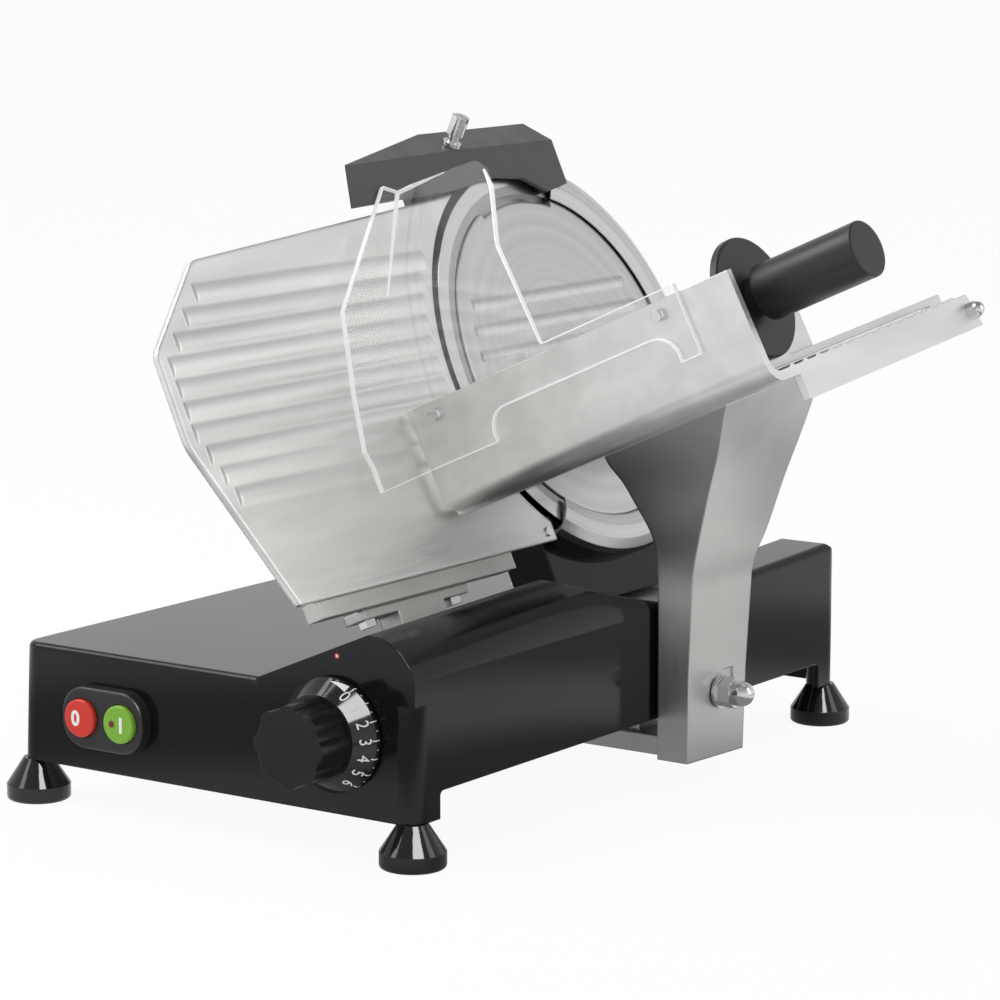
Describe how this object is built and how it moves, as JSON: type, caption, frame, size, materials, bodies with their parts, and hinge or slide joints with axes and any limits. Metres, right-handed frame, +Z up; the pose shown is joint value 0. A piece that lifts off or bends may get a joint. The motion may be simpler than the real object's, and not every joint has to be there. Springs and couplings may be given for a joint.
{
  "type": "electric gravity-feed slicer",
  "caption": "Tabletop gravity-feed food slicer: leaning round blade, ribbed gauge plate, sliding ribbed tray on a cast arm, clear hand guard, food pusher, thickness knob, start and stop buttons",
  "frame": {"origin": "centre of the whole object's box at rest, on the surface that the feet stand on", "axes": "+X is the operator's right, +Y points away from the operator along the carriage travel, +Z is up"},
  "size_m": [0.4947, 0.5349, 0.4032],
  "materials": {
    "enamel": "black gloss enamel on cast aluminium",
    "anodised": "satin anodised aluminium plate",
    "cast_satin": "brushed cast aluminium",
    "ring_satin": "satin spun aluminium",
    "blade_steel": "ground hardened steel",
    "steel": "machined steel",
    "bright_steel": "polished stainless steel",
    "black_plastic": "satin black moulded plastic",
    "dial_plastic": "black dial with white scale",
    "foot_rubber": "black rubber",
    "clear_acrylic": "clear acrylic sheet with bright cut edges",
    "red_button": "red push button, white ring sign",
    "green_button": "green push button, white bar sign",
    "belt_rubber": "ribbed drive belt",
    "zinc": "zinc plated sheet steel",
    "motor_steel": "painted motor can",
    "abrasive": "grinding stone",
    "bronze": "sintered bronze"
  },
  "bodies": {
    "base": {"base_casting": "enamel", "blade_column": "enamel", "bottom_cover": "zinc", "bottom_cover_screws": "steel", "feet": "foot_rubber", "foot_studs": "steel", "guard_ring": "ring_satin", "guard_ring_screws": "steel", "blade_cover": "ring_satin", "shaft_bearings": "bright_steel", "drive_belt": "belt_rubber", "motor_can": "motor_steel", "motor_flange": "cast_satin", "capacitor": "black_plastic", "contact_block": "black_plastic", "switch_surround": "black_plastic", "cable_gland": "black_plastic", "gauge_guide_rods": "bright_steel", "carriage_guide_rod": "bright_steel", "carriage_guide_bar": "steel", "sharpener_body": "black_plastic", "sharpener_hood": "black_plastic"},
    "cover_lock": {"cover_tie_rod": "steel", "cover_knob": "black_plastic"},
    "blade_rotor": {"blade": "blade_steel", "blade_screws": "steel", "blade_hub": "steel", "blade_pulley": "cast_satin"},
    "motor_rotor": {"motor_pulley": "steel", "motor_shaft": "steel"},
    "gauge": {"gauge_plate": "anodised", "gauge_screw": "bright_steel", "gauge_bracket": "cast_satin", "bracket_bolts": "bright_steel", "gauge_carrier": "cast_satin"},
    "thickness_knob": {"dial_skirt": "dial_plastic", "knob_grip": "black_plastic", "knob_shaft": "steel", "spiral_cam": "cast_satin"},
    "carriage": {"slide_block": "cast_satin", "slide_bushes": "bronze", "guide_shoe": "black_plastic", "carriage_foot": "cast_satin", "carriage_arm": "cast_satin", "arm_bolt": "steel", "arm_nut": "bright_steel", "food_tray": "anodised", "hand_guard": "clear_acrylic", "hand_guard_screws": "bright_steel", "pusher_rod": "bright_steel", "rod_nut": "bright_steel"},
    "pusher_slider": {"pusher_sleeve": "steel"},
    "pusher": {"pusher_arm": "anodised", "handle_disc": "black_plastic", "pusher_handle": "black_plastic"},
    "stop": {"stop_button": "red_button"},
    "start": {"start_button": "green_button"},
    "sharpener_lock": {"sharpener_screw": "bright_steel"},
    "stone_a": {"grinding_stone": "abrasive"},
    "stone_b": {"deburring_stone": "abrasive"}
  },
  "joints": [
    {"name": "carriage_slide", "type": "slide", "parent": "base", "child": "carriage", "axis": [0, 1, 0], "range_m": [-0.19, 0.13]},
    {"name": "gauge_slide", "type": "slide", "parent": "base", "child": "gauge", "axis": [0.9128, 0, 0.4083], "range_m": [-0.011, 0]},
    {"name": "knob_turn", "type": "hinge", "parent": "base", "child": "thickness_knob", "pos_m": [0.00522, -0.21302, 0.0724], "axis": [0, -1, 0], "range_deg": [0, 300]},
    {"name": "blade_spin", "type": "hinge", "parent": "base", "child": "blade_rotor", "pos_m": [-0.05765, 0.11838, 0.2492], "axis": [0.9128, 0, 0.4083], "continuous": true},
    {"name": "motor_spin", "type": "hinge", "parent": "base", "child": "motor_rotor", "pos_m": [0.00809, 0.11838, 0.10224], "axis": [0.9128, 0, 0.4083], "continuous": true},
    {"name": "cover_lock_turn", "type": "hinge", "parent": "base", "child": "cover_lock", "pos_m": [-0.05765, 0.11838, 0.2492], "axis": [-0.9128, 0, -0.4083], "range_deg": [-1800, 0]},
    {"name": "stop_press", "type": "slide", "parent": "base", "child": "stop", "axis": [0, 1, 0], "range_m": [0, 0.0025], "stiffness_N_per_m": 500, "springref_m": -0.002},
    {"name": "start_press", "type": "slide", "parent": "base", "child": "start", "axis": [0, 1, 0], "range_m": [0, 0.0025], "stiffness_N_per_m": 500, "springref_m": -0.002},
    {"name": "pusher_slide", "type": "slide", "parent": "carriage", "child": "pusher_slider", "axis": [0.9128, 0, 0.4083], "range_m": [-0.188, 0]},
    {"name": "pusher_swing", "type": "hinge", "parent": "pusher_slider", "child": "pusher", "pos_m": [0.17124, 0.17499, 0.27629], "axis": [-0.9128, 0, -0.4083], "range_deg": [0, 100]},
    {"name": "sharpener_lock_turn", "type": "hinge", "parent": "base", "child": "sharpener_lock", "pos_m": [-0.11428, 0.06638, 0.38217], "axis": [0.3887, 0, 0.9214], "range_deg": [0, 1440]},
    {"name": "grinding_stone_spin", "type": "hinge", "parent": "base", "child": "stone_a", "pos_m": [-0.11359, 0.09338, 0.37426], "axis": [0.9128, 0, 0.4083], "continuous": true},
    {"name": "deburring_stone_spin", "type": "hinge", "parent": "base", "child": "stone_b", "pos_m": [-0.11359, 0.13938, 0.37426], "axis": [0.9128, 0, 0.4083], "continuous": true}
  ],
  "couplings": [
    {"joint": "knob_turn", "follows": "gauge_slide", "rad_per_m": -476},
    {"joint": "motor_spin", "follows": "blade_spin", "ratio": 5}
  ]
}
